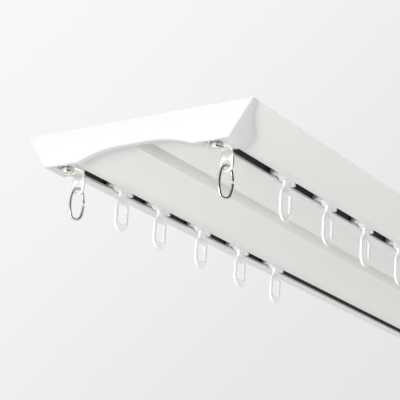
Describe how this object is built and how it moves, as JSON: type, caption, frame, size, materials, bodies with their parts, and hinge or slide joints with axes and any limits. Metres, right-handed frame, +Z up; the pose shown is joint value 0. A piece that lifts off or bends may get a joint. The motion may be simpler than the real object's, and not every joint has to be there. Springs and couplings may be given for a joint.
{
  "type": "curtain track",
  "caption": "Double ceiling curtain track: bevelled white rail with an arched middle, moulded end caps, clamped end stops with hanging rings, and sliding gliders with eyes for hooks.",
  "frame": {"origin": "middle of the rail's flat top, the face that meets the ceiling", "axes": "+X across the track, +Y along it from the near end to the far end, +Z up to the ceiling"},
  "size_m": [0.12, 0.6, 0.0377],
  "materials": {
    "white_rail": "satin",
    "white_cap": "satin",
    "nickel": "polished",
    "clear_plastic": "gloss"
  },
  "bodies": {
    "track": {"rail": "white_rail", "near_end_cap": "white_cap", "far_end_cap": "white_cap", "near_left_stop_bracket": "nickel", "near_left_stop_screw": "nickel", "near_left_stop_nut": "nickel", "near_right_stop_bracket": "nickel", "near_right_stop_screw": "nickel", "near_right_stop_nut": "nickel", "far_left_stop_bracket": "nickel", "far_left_stop_screw": "nickel", "far_left_stop_nut": "nickel", "far_right_stop_bracket": "nickel", "far_right_stop_screw": "nickel", "far_right_stop_nut": "nickel"},
    "left_glider_1": {"left_glider_1": "clear_plastic"},
    "left_glider_2": {"left_glider_2": "clear_plastic"},
    "left_glider_3": {"left_glider_3": "clear_plastic"},
    "left_glider_4": {"left_glider_4": "clear_plastic"},
    "left_glider_5": {"left_glider_5": "clear_plastic"},
    "right_glider_1": {"right_glider_1": "clear_plastic"},
    "right_glider_2": {"right_glider_2": "clear_plastic"},
    "right_glider_3": {"right_glider_3": "clear_plastic"},
    "right_glider_4": {"right_glider_4": "clear_plastic"},
    "right_glider_5": {"right_glider_5": "clear_plastic"},
    "near_left_stop_ring": {"near_left_stop_ring": "nickel"},
    "near_right_stop_ring": {"near_right_stop_ring": "nickel"},
    "far_left_stop_ring": {"far_left_stop_ring": "nickel"},
    "far_right_stop_ring": {"far_right_stop_ring": "nickel"}
  },
  "joints": [
    {"name": "left_glider_1_slide", "type": "slide", "parent": "track", "child": "left_glider_1", "axis": [0, 1, 0], "range_m": [-0.0242, 0.0776]},
    {"name": "left_glider_2_slide", "type": "slide", "parent": "left_glider_1", "child": "left_glider_2", "axis": [0, 1, 0], "range_m": [-0.0148, 0.0776]},
    {"name": "left_glider_3_slide", "type": "slide", "parent": "left_glider_2", "child": "left_glider_3", "axis": [0, 1, 0], "range_m": [-0.0201, 0.0776]},
    {"name": "left_glider_4_slide", "type": "slide", "parent": "left_glider_3", "child": "left_glider_4", "axis": [0, 1, 0], "range_m": [-0.0206, 0.0776]},
    {"name": "left_glider_5_slide", "type": "slide", "parent": "left_glider_4", "child": "left_glider_5", "axis": [0, 1, 0], "range_m": [-0.0199, 0.0776]},
    {"name": "right_glider_1_slide", "type": "slide", "parent": "track", "child": "right_glider_1", "axis": [0, 1, 0], "range_m": [-0.0404, 0.0722]},
    {"name": "right_glider_2_slide", "type": "slide", "parent": "right_glider_1", "child": "right_glider_2", "axis": [0, 1, 0], "range_m": [-0.0228, 0.0722]},
    {"name": "right_glider_3_slide", "type": "slide", "parent": "right_glider_2", "child": "right_glider_3", "axis": [0, 1, 0], "range_m": [-0.0216, 0.0722]},
    {"name": "right_glider_4_slide", "type": "slide", "parent": "right_glider_3", "child": "right_glider_4", "axis": [0, 1, 0], "range_m": [-0.0212, 0.0722]},
    {"name": "right_glider_5_slide", "type": "slide", "parent": "right_glider_4", "child": "right_glider_5", "axis": [0, 1, 0], "range_m": [-0.0207, 0.0722]},
    {"name": "near_left_stop_ring_swing", "type": "hinge", "parent": "track", "child": "near_left_stop_ring", "pos_m": [-0.0395, -0.28555, -0.0223], "axis": [0, 1, 0], "range_deg": [-90, 90]},
    {"name": "near_right_stop_ring_swing", "type": "hinge", "parent": "track", "child": "near_right_stop_ring", "pos_m": [0.0395, -0.28555, -0.0223], "axis": [0, 1, 0], "range_deg": [-90, 90]},
    {"name": "far_left_stop_ring_swing", "type": "hinge", "parent": "track", "child": "far_left_stop_ring", "pos_m": [-0.0395, 0.28555, -0.0223], "axis": [0, 1, 0], "range_deg": [-90, 90]},
    {"name": "far_right_stop_ring_swing", "type": "hinge", "parent": "track", "child": "far_right_stop_ring", "pos_m": [0.0395, 0.28555, -0.0223], "axis": [0, 1, 0], "range_deg": [-90, 90]}
  ]
}
